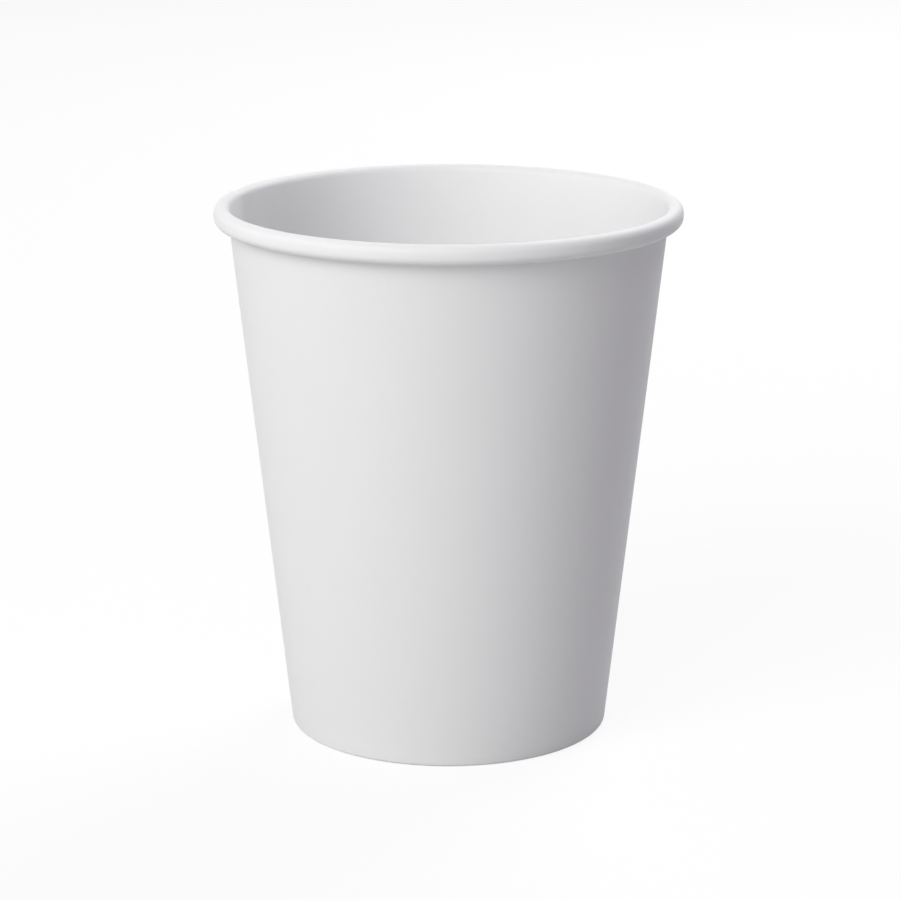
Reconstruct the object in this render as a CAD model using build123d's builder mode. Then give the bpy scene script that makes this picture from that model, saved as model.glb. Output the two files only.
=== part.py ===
from build123d import *
from math import acos, asin, atan2, cos, degrees, radians, sin, tan
import os

# Single-wall paper cup, in millimetres, +Z up. The origin is on the cup's axis, on the table.
# Sections are drawn in a half plane through the axis: x is the distance from it, and y is the height.
# A level is a depth below the outside of the wall, so the wall's board runs from level 0 to its thickness.

# Overall sizes
cup_height = 92.0
rim_diameter = 80.0  # over the rolled rim
foot_diameter = 55.2  # where the outside of the wall, carried on down, would meet the table

# Boards
wall_board = 0.38
base_board = 0.34

# Rolled rim
roll_width = 2.75  # from the inside of the wall to the outside of the roll
roll_side = 0.65  # height of the flat between the roll's upper and lower arc
tail_gap = 0.06  # from the roll's cut end to the wall

# Lap seam of the side wall
seam_azimuth = 171.0  # middle of the lap, at the left of the cup
lap_width = 7.0  # half way up the cup
ramp_width = 3.0  # over which the board climbs onto its own other end
lap_crush = 0.08  # thickness that the press takes out of the two boards
root_angle = 15.0  # how far the lap follows the bend under the foot

# Folded foot and base
base_recess = 7.0  # from the table to the underside of the base
edge_gap = 1.5  # from the underside of the base to the cut edge that is turned up inside the foot
foot_flat = 0.2  # width of the ring that touches the table
seal_gap = 0.05  # each side of the base's skirt, where the film melts
skirt_gap = 0.3  # from the skirt's cut edge to the bottom of the fold
base_bend = 0.5  # inside radius between the base's disc and its skirt

# Centres of the roll's arcs, and the radius of its hollow core
roll_radius = roll_width / 2
roll_core = roll_radius - wall_board
crown_centre = Vector(rim_diameter / 2 - roll_radius, cup_height - roll_radius)
under_centre = crown_centre - Vector(0, roll_side)

# The outside of the wall runs up from the foot's corner to touch the core of the roll
rise = crown_centre - Vector(foot_diameter / 2, 0)
taper = atan2(rise.X, rise.Y) - asin(roll_core / rise.length)
taper_angle = degrees(taper)

# Levels of the foot's layers: wall, skirt of the base, turned-up edge
skirt_level = wall_board + seal_gap
edge_level = skirt_level + base_board + seal_gap
foot_level = edge_level + wall_board
fold_radius = (foot_level - foot_flat * cos(taper)) / 2

# Angles of the seam about the axis
mean_radius = (foot_diameter + rim_diameter) / 4
lap_angle = degrees(lap_width / mean_radius)
ramp_angle = degrees(ramp_width / mean_radius)
lap_start = seam_azimuth - lap_angle / 2
lap_lift = wall_board - lap_crush


def in_wall(level: float, height: float) -> Vector:
    """Give the point of a section at a level and a height, along the slope of the wall."""
    return Vector(foot_diameter / 2 + height * tan(taper) - level / cos(taper), height)


def half_plane(azimuth: float) -> Plane:
    """Give the half plane through the axis at an azimuth."""
    turn = radians(azimuth)
    return Plane(origin=(0, 0, 0), x_dir=(cos(turn), sin(turn), 0), z_dir=(sin(turn), -cos(turn), 0))


def draw_foot(level: float) -> tuple[Vector, Vector]:
    """Draw the turned-up edge and the two bends under it at a level, and give the two ends."""
    heel_centre = in_wall(foot_level - fold_radius, fold_radius)
    toe_centre = in_wall(fold_radius, fold_radius)
    heel = CenterArc(heel_centre, fold_radius - level, 180 - taper_angle, 90 + taper_angle)
    toe = CenterArc(toe_centre, fold_radius - level, 270, 90 - taper_angle)
    edge = Line(in_wall(foot_level - level, base_recess - edge_gap), heel @ 0)
    Line(heel @ 1, toe @ 0)
    return edge @ 0, toe @ 1


def draw_wall(level: float, lift: float) -> tuple[Vector, Vector]:
    """Draw the wall and its roll at a level, for a board lifted off the wall, and give the two ends."""
    reach = roll_core - lift + roll_side * sin(taper) - tail_gap
    tail_angle = degrees(acos(reach / (roll_radius - lift)))
    toe_centre = in_wall(fold_radius, fold_radius)
    toe = CenterArc(toe_centre, fold_radius - level, -taper_angle - root_angle, root_angle)
    crown = CenterArc(crown_centre, roll_core + level, 180 - taper_angle, taper_angle - 180)
    under = CenterArc(under_centre, roll_core + level, 0, tail_angle - taper_angle - 180)
    Line(toe @ 1, crown @ 0)
    Line(crown @ 1, under @ 0)
    return toe @ 0, under @ 1


def foot_section(azimuth: float) -> Sketch:
    """Give the section of the folded foot, from its turned-up edge to the start of the wall."""
    with BuildSketch(half_plane(azimuth)) as section:
        with BuildLine():
            outer_edge, outer_toe = draw_foot(0)
            inner_edge, inner_toe = draw_foot(wall_board)
            Line(outer_edge, inner_edge)
            Line(outer_toe, inner_toe)
        make_face()
    return section.sketch


def wall_section(azimuth: float, lift: float) -> Sketch:
    """Give the section of the wall and its roll, where the board is lifted off the wall's own place."""
    with BuildSketch(half_plane(azimuth)) as section:
        with BuildLine():
            outer_root, outer_tail = draw_wall(-lift, lift)
            inner_root, inner_tail = draw_wall(wall_board - lift, lift)
            Line(outer_root, inner_root)
            Line(outer_tail, inner_tail)
        make_face()
    return section.sketch


# Side wall: one board, wrapped round until it climbs a ramp onto its own start and laps it
with BuildPart() as side_wall:
    revolve(foot_section(lap_start), axis=Axis.Z)
    revolve(wall_section(lap_start, 0), axis=Axis.Z, revolution_arc=360 - ramp_angle)
    loft([wall_section(lap_start - ramp_angle, 0), wall_section(lap_start, lap_lift)], ruled=True)
    revolve(wall_section(lap_start, lap_lift), axis=Axis.Z, revolution_arc=lap_angle)

# Base: one round board, drawn into an upside-down tray whose skirt sits in the fold of the foot
with BuildPart() as base:
    with BuildSketch(Plane.XZ):
        with BuildLine():
            bend_radius = base_bend + base_board
            base_top = base_recess + base_board
            skirt_end = wall_board + skirt_gap
            bend_centre = in_wall(skirt_level + bend_radius, base_top - bend_radius)
            top_bend = CenterArc(bend_centre, bend_radius, 90, -90 - taper_angle)
            under_bend = CenterArc(bend_centre, base_bend, 90, -90 - taper_angle)
            Polyline(top_bend @ 0, (0, base_top), (0, base_recess), under_bend @ 0)
            Polyline(top_bend @ 1, in_wall(skirt_level, skirt_end),
                     in_wall(skirt_level + base_board, skirt_end), under_bend @ 1)
        make_face()
    revolve(axis=Axis.Z)

side_wall.part.label = "side_wall"
base.part.label = "base"

os.makedirs("parts", exist_ok=True)
export_step(side_wall.part, "parts/side_wall.step")
export_step(base.part, "parts/base.step")
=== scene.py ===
"""Paper coffee cup: its two boards in full form, their finishes, a plain studio and the view.

Lengths are millimetres while a board is shaped, and metres once it stands in the frame.
"""
import logging
from abc import ABC, abstractmethod
from dataclasses import dataclass
from enum import Enum, IntEnum
from math import acos, asin, atan2, cos, pi, radians, sin, tan
from typing import Any, ClassVar, Mapping

import bmesh
import bpy
from bmesh.types import BMesh, BMVert
from mathutils import Matrix, Vector


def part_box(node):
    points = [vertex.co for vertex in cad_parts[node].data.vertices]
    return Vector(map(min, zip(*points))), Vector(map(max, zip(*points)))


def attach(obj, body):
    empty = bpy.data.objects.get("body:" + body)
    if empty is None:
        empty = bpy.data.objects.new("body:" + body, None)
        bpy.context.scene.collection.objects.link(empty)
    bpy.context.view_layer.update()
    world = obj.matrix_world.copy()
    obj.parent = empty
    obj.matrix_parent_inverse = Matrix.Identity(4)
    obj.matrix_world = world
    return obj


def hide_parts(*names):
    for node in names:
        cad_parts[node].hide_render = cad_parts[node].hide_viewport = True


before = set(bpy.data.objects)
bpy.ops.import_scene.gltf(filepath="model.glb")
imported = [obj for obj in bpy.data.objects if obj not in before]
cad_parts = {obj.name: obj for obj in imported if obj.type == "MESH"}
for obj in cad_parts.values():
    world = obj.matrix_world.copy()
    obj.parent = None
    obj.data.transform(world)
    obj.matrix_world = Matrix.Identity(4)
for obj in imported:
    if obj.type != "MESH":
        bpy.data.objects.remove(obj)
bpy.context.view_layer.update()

MM = 0.001  # metres in a millimetre
TINY = 0.001  # millimetres, under which two points are one
BOX_MARGIN = 0.002  # millimetres from the cup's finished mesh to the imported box
FULL_TURN = 2 * pi
HALF_COLUMN = 0.5  # tells one column of a wrapped mesh from the next
CUP_AXIS: Mapping[str, Any] = {"cent": (0.0, 0.0, 0.0), "axis": (0.0, 0.0, 1.0)}
SHARP_ANGLE = radians(45.0)  # between two faces, from which their edge stays sharp
NOISE_MIDDLE = 0.5
PRESS_GROUP = "press"  # weights of the vertices where a press has thinned the board
BODY = "root"  # a cup has no joints, so both boards ride on the one body

log = logging.getLogger("paper_cup")

Colour = tuple[float, float, float]
Rgba = tuple[float, float, float, float]

WHITE: Colour = (1.0, 1.0, 1.0)
WARM: Colour = (0.99, 1.0, 0.97)  # light of the lamps on the left


def opaque(colour: Colour) -> Rgba:
    """Give a colour the full alpha that a node's socket asks for."""
    return (*colour, 1.0)


def smooth(share: float) -> float:
    """Ease a share from 0 to 1, flat at both ends and outside them."""
    share = min(max(share, 0.0), 1.0)
    return share * share * (3 - 2 * share)


class Operation(Enum):
    """The operations of the Math nodes in use."""

    ADD = "ADD"
    SUBTRACT = "SUBTRACT"
    MULTIPLY = "MULTIPLY"
    MAXIMUM = "MAXIMUM"


class Plug:
    """An output of a finish's nodes, on which Python operators add Math nodes."""

    def __init__(self, bench: "NodeBench", socket: bpy.types.NodeSocket) -> None:
        """Wrap a socket of a bench."""
        self.bench = bench
        self.socket = socket

    def __add__(self, other: "Plug | float") -> "Plug":
        """Add a value."""
        return self.bench.maths(Operation.ADD, self, other)

    __radd__ = __add__

    def __sub__(self, other: "Plug | float") -> "Plug":
        """Take a value away."""
        return self.bench.maths(Operation.SUBTRACT, self, other)

    def __rsub__(self, other: float) -> "Plug":
        """Take this away from a number."""
        return self.bench.maths(Operation.SUBTRACT, other, self)

    def __mul__(self, other: "Plug | float") -> "Plug":
        """Multiply by a value."""
        return self.bench.maths(Operation.MULTIPLY, self, other)

    __rmul__ = __mul__

    def __or__(self, other: "Plug | float") -> "Plug":
        """Give the larger of two values, which joins two masks."""
        return self.bench.maths(Operation.MAXIMUM, self, other)

    __ror__ = __or__


class NodeBench:
    """The node tree of one finish, emptied and built up node by node."""

    def __init__(self, tree: bpy.types.NodeTree) -> None:
        """Clear a tree and work on it."""
        self.tree = tree
        self.tree.nodes.clear()

    def node(
        self,
        kind: str,
        settings: Mapping[str, Any],
        sockets: Mapping[str | int, Any],
        output: str = "",
    ) -> Plug:
        """Add a node.

        Args:
            kind: The node's type.
            settings: Its properties, which are set before its sockets.
            sockets: The value or the Plug for each input, by the input's name or number.
            output: The name of the output to give, or the first one if empty.

        Returns:
            The chosen output, or an unused Plug for a node without outputs.
        """
        made = self.tree.nodes.new(kind)
        for name, value in settings.items():
            setattr(made, name, value)
        for key, value in sockets.items():
            socket = self.pick_input(made, key)
            if isinstance(value, Plug):
                self.tree.links.new(value.socket, socket)
            else:
                socket.default_value = value
        outputs = [s for s in made.outputs if s.enabled and output in ("", s.name)]
        return Plug(self, outputs[0] if outputs else made.inputs[0])

    @staticmethod
    def pick_input(made: bpy.types.Node, key: str | int) -> bpy.types.NodeSocket:
        """Find an input of a node.

        Args:
            made: The node.
            key: The input's number, or its name among the inputs in use.

        Returns:
            The input.
        """
        if isinstance(key, int):
            return made.inputs[key]
        return next(s for s in made.inputs if s.enabled and s.name == key)

    def maths(self, operation: Operation, first: Plug | float, second: Plug | float) -> Plug:
        """Add a Math node on two values."""
        return self.node("ShaderNodeMath", {"operation": operation.value}, {0: first, 1: second})

    def mix(self, factor: Plug, first: Rgba, second: Rgba) -> Plug:
        """Mix two colours by a factor."""
        sockets = {"Factor": factor, "A": first, "B": second}
        return self.node("ShaderNodeMix", {"data_type": "RGBA"}, sockets, "Result")

    def blend(self, factor: Plug | float, first: Plug, second: Plug) -> Plug:
        """Mix two shaders by a factor."""
        return self.node("ShaderNodeMixShader", {}, {0: factor, 1: first, 2: second})


class Side(IntEnum):
    """The faces of a board, in the order of its material slots."""

    FRONT = 0  # the face that the section is drawn along
    BACK = 1
    CUT = 2


@dataclass(frozen=True)
class BoardFinish:
    """One face of the cup board: fine white fibre under more or less film."""

    name: str
    colour: Colour
    shade: Colour  # between the bundles of fibre
    roughness: float
    roughness_spread: float
    sheen: float  # specular level, where 0.5 is plain glossy film
    bundle_scale: float  # bundles of fibre in a metre
    fibre_scale: float  # single fibres in a metre
    fibre_height: float  # metres
    relief: float  # share of the fibres' height that the film leaves
    bundle_detail: float = 3.0  # finer layers of noise in the bundles
    fibre_detail: float = 2.0  # the same in the single fibres
    layer_share: float = 0.6  # of a layer's strength that the next finer one has
    bundle_tint: float = 0.7  # share of the bundles in the colour and the gloss
    bundle_relief: float = 0.4  # share of the bundles in the height

    def material(self) -> bpy.types.Material:
        """Make the finish's material.

        Returns:
            A material whose fibre follows the object's own coordinates.
        """
        made = bpy.data.materials.new(self.name)
        made.use_nodes = True
        bench = NodeBench(made.node_tree)
        place = bench.node("ShaderNodeTexCoord", {}, {}, "Object")
        bundles = self.noise(bench, place, self.bundle_scale, self.bundle_detail)
        fibres = self.noise(bench, place, self.fibre_scale, self.fibre_detail)
        cloud = bundles * self.bundle_tint + fibres * (1 - self.bundle_tint)
        height = fibres * (1 - self.bundle_relief) + bundles * self.bundle_relief
        tint = bench.mix(cloud, opaque(self.shade), opaque(self.colour))
        gloss = (cloud - NOISE_MIDDLE) * self.roughness_spread + self.roughness
        relief = bench.node(
            "ShaderNodeBump",
            {},
            {"Height": height, "Distance": self.fibre_height, "Strength": self.relief},
        )
        shader = bench.node(
            "ShaderNodeBsdfPrincipled",
            {},
            {
                "Base Color": tint,
                "Roughness": gloss,
                "Specular IOR Level": self.sheen,
                "Normal": relief,
            },
        )
        bench.node("ShaderNodeOutputMaterial", {}, {"Surface": shader})
        return made

    def noise(self, bench: NodeBench, place: Plug, scale: float, detail: float) -> Plug:
        """Add a soft noise over the board.

        Args:
            bench: The finish's nodes.
            place: The coordinates that it follows.
            scale: Its grains in a metre.
            detail: How many finer layers it has.

        Returns:
            A value from about 0.3 to 0.7.
        """
        return bench.node(
            "ShaderNodeTexNoise",
            {},
            {"Vector": place, "Scale": scale, "Detail": detail, "Roughness": self.layer_share},
            "Fac",
        )


OUTSIDE = BoardFinish(
    name="board_outside",
    colour=(0.87, 0.87, 0.87),
    shade=(0.85, 0.85, 0.852),
    roughness=0.7,
    roughness_spread=0.12,
    sheen=0.25,
    bundle_scale=900.0,
    fibre_scale=5200.0,
    fibre_height=0.00003,
    relief=0.25,
)
DRINK_SIDE = BoardFinish(
    name="board_film",
    colour=(0.876, 0.876, 0.876),
    shade=(0.858, 0.858, 0.86),
    roughness=0.6,
    roughness_spread=0.08,
    sheen=0.3,
    bundle_scale=700.0,
    fibre_scale=4200.0,
    fibre_height=0.00003,
    relief=0.12,
)
CUT_EDGE = BoardFinish(
    name="board_cut_edge",
    colour=(0.83, 0.815, 0.78),
    shade=(0.7, 0.675, 0.63),
    roughness=0.85,
    roughness_spread=0.2,
    sheen=0.1,
    bundle_scale=2600.0,
    fibre_scale=9000.0,
    fibre_height=0.00008,
    relief=0.6,
)


@dataclass(frozen=True)
class CupForm:
    """The sizes that both boards share, in millimetres.

    A level is a depth below the outside of the wall, square to it. A section's point has its
    distance from the cup's axis as x and its height as y.
    """

    height: float
    rim_diameter: float
    foot_diameter: float = 55.2  # where the wall's outside, carried on down, would meet the table
    wall_board: float = 0.38
    base_board: float = 0.34
    seal_gap: float = 0.05  # each side of the base's skirt
    base_recess: float = 7.0  # from the table to the underside of the base
    roll_width: float = 2.75
    roll_side: float = 0.65  # flat between the roll's upper and lower arc

    @classmethod
    def from_frame(cls) -> "CupForm":
        """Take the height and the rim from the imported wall.

        Returns:
            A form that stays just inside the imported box.
        """
        low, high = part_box("side_wall")
        reach = min(high.x, high.y, -low.x, -low.y)
        return cls(height=high.z / MM - BOX_MARGIN, rim_diameter=2 * (reach / MM - BOX_MARGIN))

    @property
    def roll_core(self) -> float:
        """Radius of the roll's hollow core."""
        return self.roll_width / 2 - self.wall_board

    @property
    def crown_centre(self) -> Vector:
        """Centre of the roll's upper arc."""
        return Vector(((self.rim_diameter - self.roll_width) / 2, self.height - self.roll_width / 2))

    @property
    def under_centre(self) -> Vector:
        """Centre of the roll's lower arc."""
        return self.crown_centre - Vector((0.0, self.roll_side))

    @property
    def taper(self) -> float:
        """Angle of the wall from upright, which lets its outside touch the roll's core."""
        rise = self.crown_centre - Vector((self.foot_diameter / 2, 0.0))
        return atan2(rise.x, rise.y) - asin(self.roll_core / rise.length)

    @property
    def skirt_level(self) -> float:
        """Level of the skirt's face against the wall."""
        return self.wall_board + self.seal_gap

    @property
    def foot_level(self) -> float:
        """Level of the innermost face of the folded foot."""
        return self.skirt_level + self.base_board + self.seal_gap + self.wall_board

    def outside_at(self, height: float) -> float:
        """Give the radius of the wall's outside at a height."""
        return self.foot_diameter / 2 + height * tan(self.taper)

    def in_wall(self, level: float, height: float) -> Vector:
        """Give the section's point at a level and a height."""
        return Vector((self.outside_at(height) - level / cos(self.taper), height))

    def level_at(self, radius: float, height: float) -> float:
        """Give the level of a section's point."""
        return (self.outside_at(height) - radius) * cos(self.taper)


class SectionPen:
    """Draws the section of a bent board, stretch by stretch, in the half plane of +X and +Z."""

    def __init__(self, mesh: BMesh, start: Vector) -> None:
        """Set the pen down at a section's point."""
        self.mesh = mesh
        self.tip: BMVert = bmesh.ops.create_vert(mesh, co=(start.x, 0.0, start.y))["vert"][0]

    def run(self, end: Vector, steps: int = 1) -> None:
        """Draw a straight stretch.

        Args:
            end: The section's point where it ends.
            steps: How many edges it has.
        """
        stride = (Vector((end.x, 0.0, end.y)) - self.tip.co) / steps
        for _ in range(steps):
            self.tip = bmesh.ops.extrude_vert_indiv(self.mesh, verts=[self.tip])["verts"][0]
            bmesh.ops.translate(self.mesh, verts=[self.tip], vec=stride)

    def bend(self, centre: Vector, angle: float, steps: int) -> None:
        """Draw an arc.

        Args:
            centre: The section's point that it bends round.
            angle: How far it turns, from +Z towards +X.
            steps: How many edges it has.
        """
        turned = bmesh.ops.spin(
            self.mesh,
            geom=[self.tip],
            cent=(centre.x, 0.0, centre.y),
            axis=(0.0, 1.0, 0.0),
            angle=angle,
            steps=steps,
        )
        self.tip = next(g for g in turned["geom_last"] if isinstance(g, BMVert))


@dataclass
class Board(ABC):
    """A board of the cup: a bent sheet with a thickness and a finish on each side."""

    form: CupForm
    name: ClassVar[str]
    node: ClassVar[str]  # the CAD node that it stands for
    slot: ClassVar[str]  # the record's material slot of that node
    finishes: ClassVar[Mapping[Side, BoardFinish]]

    @property
    @abstractmethod
    def thickness(self) -> float:
        """Thickness of the board, behind its front face."""

    @property
    def pressed(self) -> float:
        """Share of the thickness that is left where the press has its full weight."""
        return 1.0

    @abstractmethod
    def shape(self) -> BMesh:
        """Shape the front face of the board, in millimetres."""

    def build(self) -> bpy.types.Object:
        """Shape, dress and thicken the board, and put it in the frame.

        Returns:
            The finished piece.
        """
        sheet = self.shape()
        bmesh.ops.scale(sheet, verts=sheet.verts[:], vec=Vector((MM, MM, MM)))
        mesh = bpy.data.meshes.new(self.name)
        sheet.to_mesh(mesh)
        sheet.free()
        piece = bpy.data.objects.new(self.name, mesh)
        bpy.context.scene.collection.objects.link(piece)
        self.dress(piece)
        self.thicken(piece)
        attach(piece, BODY)
        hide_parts(self.node)
        return piece

    def dress(self, piece: bpy.types.Object) -> None:
        """Give the piece the finish of each side.

        Args:
            piece: The piece, whose mesh is the front face.
        """
        for side in Side:
            piece.data.materials.append(self.finishes[side].material())

    def thicken(self, piece: bpy.types.Object) -> None:
        """Give the piece its back and its cut edges.

        Args:
            piece: The piece, whose mesh is the front face and is replaced.
        """
        front = piece.data
        piece.vertex_groups.new(name=PRESS_GROUP)
        backing = piece.modifiers.new("thickness", "SOLIDIFY")
        backing.thickness = self.thickness * MM
        backing.offset = -1.0  # all of it behind the front face
        backing.use_even_offset = True
        backing.vertex_group = PRESS_GROUP
        backing.invert_vertex_group = True
        backing.thickness_vertex_group = self.pressed
        backing.material_offset = Side.BACK
        backing.material_offset_rim = Side.CUT
        depsgraph = bpy.context.evaluated_depsgraph_get()
        solid = piece.evaluated_get(depsgraph)
        piece.data = bpy.data.meshes.new_from_object(solid, depsgraph=depsgraph)
        piece.data.name = self.name
        piece.modifiers.clear()
        bpy.data.meshes.remove(front)
        piece.data.shade_smooth()
        piece.data.set_sharp_from_angle(angle=SHARP_ANGLE)


@dataclass
class SideWall(Board):
    """The wall's one board: turned up inside the foot, wrapped to a lapped cone, rolled at the rim."""

    name: ClassVar[str] = "cup_wall"
    node: ClassVar[str] = "side_wall"
    slot: ClassVar[str] = "wall_board"
    finishes: ClassVar[Mapping[Side, BoardFinish]] = {
        Side.FRONT: OUTSIDE,
        Side.BACK: DRINK_SIDE,
        Side.CUT: CUT_EDGE,
    }
    fold_height: float = 5.5  # from the table to the turned-up edge
    foot_flat: float = 0.2  # width of the ring that touches the table
    tail_gap: float = 0.06  # from the roll's cut end to the wall
    seam_azimuth: float = 171.0  # degrees, at the left of the cup
    lap_crush: float = 0.08  # thickness that the press takes out of the two layers of the lap
    lap_gap: float = 0.01  # between those layers where the lap starts
    root_height: float = 2.5  # over which the lap lifts off the foot
    root_gap: float = 0.02  # lift that the lap keeps at its lower end
    ridge_count: int = 80  # pressed into the turned-up edge
    ridge_height: float = 0.12
    ridge_end: float = 0.8  # over which a ridge runs out
    columns: int = 480  # round the cup
    ramp_columns: int = 13
    lap_columns: int = 16
    edge_steps: int = 10  # up the turned-up edge
    fold_steps: int = 6  # round each bend under the foot
    root_steps: int = 3  # up the height where the lap lifts
    wall_steps: int = 18
    crown_steps: int = 14  # round the roll's upper arc
    under_steps: int = 12  # round the roll's lower arc

    @property
    def thickness(self) -> float:
        """Thickness of the board, behind its front face."""
        return self.form.wall_board

    @property
    def pressed(self) -> float:
        """Share of the thickness that is left where the press has its full weight."""
        return (self.lap_lift - self.lap_gap) / self.form.wall_board

    @property
    def step(self) -> float:
        """Angle of a column."""
        return FULL_TURN / self.columns

    @property
    def lap_start(self) -> float:
        """Azimuth of the board's first end, which the other end laps."""
        return radians(self.seam_azimuth) - self.lap_columns * self.step / 2

    @property
    def lap_lift(self) -> float:
        """How far the lap lies outside the wall's own place."""
        return self.form.wall_board - self.lap_crush

    @property
    def fold_radius(self) -> float:
        """Radius of the two bends under the foot."""
        return (self.form.foot_level - self.foot_flat * cos(self.form.taper)) / 2

    @property
    def toe_centre(self) -> Vector:
        """Centre of the bend between the foot and the wall."""
        return self.form.in_wall(self.fold_radius, self.fold_radius)

    @property
    def wall_foot(self) -> Vector:
        """Point where the toe's bend ends and the straight wall starts."""
        taper = self.form.taper
        return self.toe_centre + self.fold_radius * Vector((cos(taper), -sin(taper)))

    def tail_angle(self, lift: float) -> float:
        """Give how far the roll's lower arc turns.

        Args:
            lift: How far the board is lifted off the wall's own place.

        Returns:
            The angle that leaves the gap between the roll's cut end and the wall.
        """
        form = self.form
        reach = form.roll_core - lift + form.roll_side * sin(form.taper) - self.tail_gap
        return pi + form.taper - acos(reach / (form.roll_width / 2 - lift))

    def shape(self) -> BMesh:
        """Draw the section, wrap it round the cup, lay the lap and press the foot.

        Returns:
            The outside face of the board, with the weights of the press.
        """
        sheet = bmesh.new()
        sheet.verts.layers.deform.verify()
        self.draw_section(sheet)
        late = self.trim_foot(sheet, self.wrap(sheet))
        self.lay_lap(sheet, late)
        # Joins the two ends of the foot to a ring
        bmesh.ops.remove_doubles(sheet, verts=sheet.verts[:], dist=TINY)
        self.press_ridges(sheet)
        return sheet

    def draw_section(self, sheet: BMesh) -> None:
        """Draw the outside face from the turned-up edge, round the foot and up to the roll's end.

        Args:
            sheet: The mesh that gets the section.
        """
        form = self.form
        taper, radius = form.taper, self.fold_radius
        heel_centre = form.in_wall(form.foot_level - radius, radius)
        heel = heel_centre + radius * Vector((-cos(taper), sin(taper)))
        crown = form.crown_centre + form.roll_core * Vector((-cos(taper), sin(taper)))
        pen = SectionPen(sheet, form.in_wall(form.foot_level, self.fold_height))
        pen.run(heel, self.edge_steps)
        pen.bend(heel_centre, -pi / 2 - taper, self.fold_steps)
        pen.run(Vector((self.toe_centre.x, 0.0)))
        pen.bend(self.toe_centre, taper - pi / 2, self.fold_steps)
        pen.run(form.in_wall(0.0, self.wall_foot.y + self.root_height), self.root_steps)
        pen.run(crown, self.wall_steps)
        pen.bend(form.crown_centre, pi - taper, self.crown_steps)
        pen.run(form.under_centre + Vector((form.roll_core, 0.0)))
        pen.bend(form.under_centre, self.tail_angle(0.0), self.under_steps)

    def wrap(self, sheet: BMesh) -> set[BMVert]:
        """Wrap the section once round the axis and on past its own start.

        Args:
            sheet: The mesh that holds the section.

        Returns:
            The vertices of the ramp and the lap.
        """
        plain = self.columns - self.ramp_columns
        seam = self.ramp_columns + self.lap_columns
        turn = Matrix.Rotation(self.lap_start, 3, "Z")
        bmesh.ops.rotate(sheet, verts=sheet.verts[:], matrix=turn)
        section = sheet.verts[:] + sheet.edges[:]
        turned = bmesh.ops.spin(
            sheet, geom=section, angle=plain * self.step, steps=plain, **CUP_AXIS
        )
        early = set(sheet.verts)
        bmesh.ops.spin(
            sheet, geom=turned["geom_last"], angle=seam * self.step, steps=seam, **CUP_AXIS
        )
        bmesh.ops.reverse_faces(sheet, faces=sheet.faces[:])
        return set(sheet.verts) - early

    def past_ramp(self, vert: BMVert) -> float:
        """Give how far a vertex lies past the end of the ramp.

        Args:
            vert: A vertex of the ramp or the lap.

        Returns:
            The number of columns, which is below 0 on the ramp.
        """
        azimuth = atan2(vert.co.y, vert.co.x)
        columns = ((azimuth - self.lap_start) / self.step + self.columns / 2) % self.columns
        return columns - self.columns / 2

    def in_foot(self, vert: BMVert) -> bool:
        """Tell whether a vertex belongs to the folded foot below the wall.

        Args:
            vert: A vertex of the board, before its lap is lifted.

        Returns:
            True in the two bends, the ring between them and the turned-up edge.
        """
        level = self.form.level_at(vert.co.xy.length, vert.co.z)
        under_wall = vert.co.z < self.wall_foot.y + TINY
        turned_up = level > self.fold_radius and vert.co.z < self.fold_height + TINY
        return under_wall or turned_up

    def trim_foot(self, sheet: BMesh, late: set[BMVert]) -> set[BMVert]:
        """Leave out the lap below the wall.

        Args:
            sheet: The wrapped mesh.
            late: The vertices of the ramp and the lap.

        Returns:
            Those of them that are left.
        """
        lap = {vert for vert in late if self.past_ramp(vert) > -HALF_COLUMN}
        spare_verts = {vert for vert in lap if self.in_foot(vert)}
        spare = [face for face in sheet.faces if spare_verts.issuperset(face.verts)]
        bmesh.ops.delete(sheet, geom=spare, context="FACES")
        return {vert for vert in late if vert.is_valid}

    def lay_lap(self, sheet: BMesh, late: set[BMVert]) -> None:
        """Lift the board up the ramp and over its own first end.

        Args:
            sheet: The wrapped mesh.
            late: The vertices of the ramp and the lap.
        """
        form = self.form
        press = sheet.verts.layers.deform.active
        plain_tail = self.tail_angle(0.0)
        sheet.normal_update()
        moves: dict[BMVert, Vector] = {}
        for vert in late:
            past = self.past_ramp(vert)
            rise = (vert.co.z - self.wall_foot.y) / self.root_height
            above = 0.0 if self.in_foot(vert) else rise
            climb = smooth(1 + past / self.ramp_columns) * smooth(above)
            vert[press][0] = climb
            lift = self.lap_lift * climb
            lift += self.root_gap if past > HALF_COLUMN else 0.0
            out = Vector((*vert.co.xy.normalized(), 0.0))
            arm = Vector((vert.co.xy.length, vert.co.z)) - form.under_centre
            if arm.y < 0 and arm.length < form.roll_width / 2:
                turn = atan2(-arm.y, arm.x) * self.tail_angle(lift) / plain_tail
                point = form.under_centre + (arm.length - lift) * Vector((cos(turn), -sin(turn)))
                moves[vert] = out * point.x + Vector((0.0, 0.0, point.y))
            else:
                moves[vert] = vert.co + vert.normal * lift
        for vert, place in moves.items():
            vert.co = place

    def press_ridges(self, sheet: BMesh) -> None:
        """Press upright ridges into the turned-up edge, where the foot grips the base.

        Args:
            sheet: The mesh of the whole board.
        """
        heel_top = 2 * self.fold_radius
        for vert in sheet.verts:
            level = self.form.level_at(vert.co.xy.length, vert.co.z)
            if abs(level - self.form.foot_level) > TINY or vert.co.z < heel_top:
                continue
            azimuth = atan2(vert.co.y, vert.co.x) - self.lap_start
            wave = (1 - cos(self.ridge_count * azimuth)) / 2
            ends = min(vert.co.z - heel_top, self.fold_height - vert.co.z)
            height = self.ridge_height * wave * smooth(ends / self.ridge_end)
            vert.co.xy *= 1 - height / vert.co.xy.length


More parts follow.
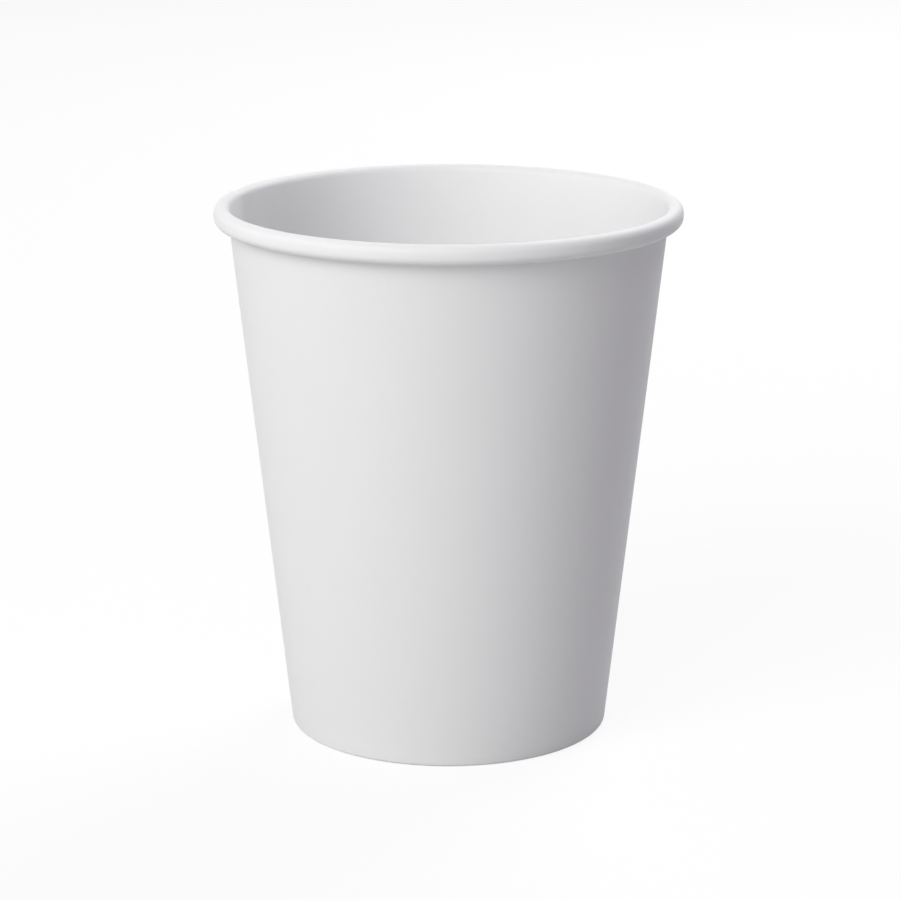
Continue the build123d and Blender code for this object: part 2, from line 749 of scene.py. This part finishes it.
@dataclass
class Base(Board):
    """The round board that closes the cup: an upside-down tray, its skirt in the fold of the foot."""

    name: ClassVar[str] = "cup_base"
    node: ClassVar[str] = "base"
    slot: ClassVar[str] = "base_board"
    finishes: ClassVar[Mapping[Side, BoardFinish]] = {
        Side.FRONT: DRINK_SIDE,
        Side.BACK: OUTSIDE,
        Side.CUT: CUT_EDGE,
    }
    bend_inside: float = 0.5  # inside radius between the disc and the skirt
    skirt_end: float = 0.68  # from the table to the skirt's cut edge
    columns: int = 240  # round the cup
    disc_steps: int = 12  # from the axis to the bend
    bend_steps: int = 8
    skirt_steps: int = 6

    @property
    def thickness(self) -> float:
        """Thickness of the board, behind its front face."""
        return self.form.base_board

    def shape(self) -> BMesh:
        """Draw the section and turn it once round the axis.

        Returns:
            The upper face of the board.
        """
        sheet = bmesh.new()
        self.draw_section(sheet)
        bmesh.ops.spin(
            sheet,
            geom=sheet.verts[:] + sheet.edges[:],
            angle=FULL_TURN,
            steps=self.columns,
            use_merge=True,
            **CUP_AXIS,
        )
        bmesh.ops.remove_doubles(sheet, verts=sheet.verts[:], dist=TINY)
        bmesh.ops.recalc_face_normals(sheet, faces=sheet.faces[:])
        return sheet

    def draw_section(self, sheet: BMesh) -> None:
        """Draw the upper face from the cup's axis to the skirt's cut edge.

        Args:
            sheet: The mesh that gets the section.
        """
        form = self.form
        top = form.base_recess + form.base_board
        radius = self.bend_inside + form.base_board
        centre = form.in_wall(form.skirt_level + radius, top - radius)
        pen = SectionPen(sheet, Vector((0.0, top)))
        pen.run(Vector((centre.x, top)), self.disc_steps)
        pen.bend(centre, pi / 2 + form.taper, self.bend_steps)
        pen.run(form.in_wall(form.skirt_level, self.skirt_end), self.skirt_steps)


@dataclass(frozen=True)
class Softbox:
    """A large soft lamp, aimed at the cup. Lengths are in metres and angles in degrees."""

    name: str
    azimuth: float  # from the camera's side, round to the right
    elevation: float
    power: float  # watts
    size: float = 0.7
    distance: float = 1.2
    colour: Colour = WHITE

    def place(self, aim: Vector) -> None:
        """Put up the lamp.

        Args:
            aim: The point that it faces.
        """
        lamp = bpy.data.lights.new(self.name, "AREA")
        lamp.shape = "SQUARE"
        lamp.size = self.size
        lamp.energy = self.power
        lamp.color = self.colour
        holder = bpy.data.objects.new(self.name, lamp)
        bpy.context.scene.collection.objects.link(holder)
        turn, lift = radians(self.azimuth), radians(self.elevation)
        out = Vector((sin(turn) * cos(lift), -cos(turn) * cos(lift), sin(lift)))
        holder.location = aim + out * self.distance
        holder.rotation_mode = "QUATERNION"
        holder.rotation_quaternion = (-out).to_track_quat("-Z", "Y")
        holder.visible_camera = False
        log.info("lamp %s", self.name)


class ShownRay(Enum):
    """The rays that show the surround itself, by the names of Light Path's outputs."""

    SEEN = "Is Camera Ray"
    MIRRORED = "Is Glossy Ray"
    THROUGH = "Is Transmission Ray"


@dataclass
class Studio:
    """A pale floor, a white surround and soft lamps. Lengths are in metres."""

    floor_radius: float = 3.0
    floor_segments: int = 96
    floor_drop: float = 0.00005  # keeps the floor clear of the foot
    floor_tone: Colour = (0.52, 0.52, 0.52)  # of the light that the floor throws back on the cup
    floor_white: float = 0.85  # share of plain white in the floor that the camera sees
    white_strength: float = 1.0  # at which a plain white shows as white
    ambient: Colour = (1.0, 0.94, 1.085)  # gives the shaded side its faint violet
    ambient_strength: float = 0.23
    lamps: tuple[Softbox, ...] = (
        Softbox("key_lamp", azimuth=-40.0, elevation=38.0, power=5.2, colour=WARM),
        Softbox("low_lamp", azimuth=-36.0, elevation=22.0, power=5.4, size=0.95, colour=WARM),
        Softbox("side_lamp", azimuth=-115.0, elevation=10.0, power=1.8, colour=WARM),
        Softbox("top_lamp", azimuth=0.0, elevation=65.0, power=1.3),
        Softbox("back_lamp", azimuth=150.0, elevation=38.0, power=7.9),
    )

    def build(self, aim: Vector) -> None:
        """Make the studio.

        Args:
            aim: The point that the lamps face.
        """
        self.lay_floor()
        self.hang_surround()
        for lamp in self.lamps:
            lamp.place(aim)

    @staticmethod
    def shown(bench: NodeBench) -> Plug:
        """Tell the rays that show the surround apart from those that light the cup.

        Args:
            bench: The nodes of the floor or the surround.

        Returns:
            1 for a ray that shows it, and 0 for the others.
        """
        seen, mirrored, through = (
            bench.node("ShaderNodeLightPath", {}, {}, ray.value) for ray in ShownRay
        )
        return seen | mirrored | through

    def lay_floor(self) -> None:
        """Lay a round pale floor."""
        disc = bmesh.new()
        bmesh.ops.create_circle(
            disc, cap_ends=True, segments=self.floor_segments, radius=self.floor_radius
        )
        bmesh.ops.translate(disc, verts=disc.verts[:], vec=(0.0, 0.0, -self.floor_drop))
        mesh = bpy.data.meshes.new("floor")
        disc.to_mesh(mesh)
        disc.free()
        mesh.materials.append(self.floor_finish())
        floor = bpy.data.objects.new("floor", mesh)
        bpy.context.scene.collection.objects.link(floor)

    def floor_finish(self) -> bpy.types.Material:
        """Make the floor's material.

        Returns:
            A material that shows nearly white, keeps the shadow and is clear from below.
        """
        made = bpy.data.materials.new("floor_white")
        made.use_nodes = True
        bench = NodeBench(made.node_tree)
        matte = bench.node("ShaderNodeBsdfDiffuse", {}, {"Color": opaque(self.floor_tone)})
        pale = bench.node("ShaderNodeBsdfDiffuse", {}, {"Color": opaque(WHITE)})
        white = bench.node(
            "ShaderNodeEmission", {}, {"Color": opaque(WHITE), "Strength": self.white_strength}
        )
        clear = bench.node("ShaderNodeBsdfTransparent", {}, {})
        below = bench.node("ShaderNodeNewGeometry", {}, {}, "Backfacing")
        bright = bench.blend(self.floor_white, pale, white)
        above = bench.blend(self.shown(bench), matte, bright)
        shader = bench.blend(below, above, clear)
        bench.node("ShaderNodeOutputMaterial", {}, {"Surface": shader})
        return made

    def hang_surround(self) -> None:
        """Make the world white to the camera and a dim even light to the cup."""
        world = bpy.data.worlds.new("surround")
        world.use_nodes = True
        bpy.context.scene.world = world
        bench = NodeBench(world.node_tree)
        dim = bench.node(
            "ShaderNodeBackground",
            {},
            {"Color": opaque(self.ambient), "Strength": self.ambient_strength},
        )
        white = bench.node(
            "ShaderNodeBackground", {}, {"Color": opaque(WHITE), "Strength": self.white_strength}
        )
        surround = bench.blend(self.shown(bench), dim, white)
        bench.node("ShaderNodeOutputWorld", {}, {"Surface": surround})


@dataclass(frozen=True)
class Viewpoint:
    """The photograph's camera, level from side to side."""

    eye: tuple[float, float, float] = (0.000237, -0.5259, 0.1863)  # metres
    pitch: float = 14.71  # degrees below the horizon
    lens: float = 125.05  # millimetres
    sensor: float = 36.0  # millimetres

    def place(self) -> None:
        """Set the scene's camera."""
        camera = bpy.data.cameras.new("camera")
        camera.lens = self.lens
        camera.sensor_width = self.sensor
        holder = bpy.data.objects.new("camera", camera)
        bpy.context.scene.collection.objects.link(holder)
        holder.location = self.eye
        holder.rotation_euler = (radians(90 - self.pitch), 0.0, 0.0)
        bpy.context.scene.camera = holder


def main() -> None:
    """Build the cup, the studio and the view, and note the sizes."""
    logging.basicConfig(level=logging.INFO, format="%(name)s: %(message)s")
    form = CupForm.from_frame()
    for board in (SideWall(form), Base(form)):
        piece = board.build()
        log.info("%s: %d faces", piece.name, len(piece.data.polygons))
    Studio().build(aim=Vector((0.0, 0.0, form.height * MM / 2)))
    Viewpoint().place()
    bpy.context.scene.view_settings.view_transform = "Standard"


if __name__ == "__main__":
    main()
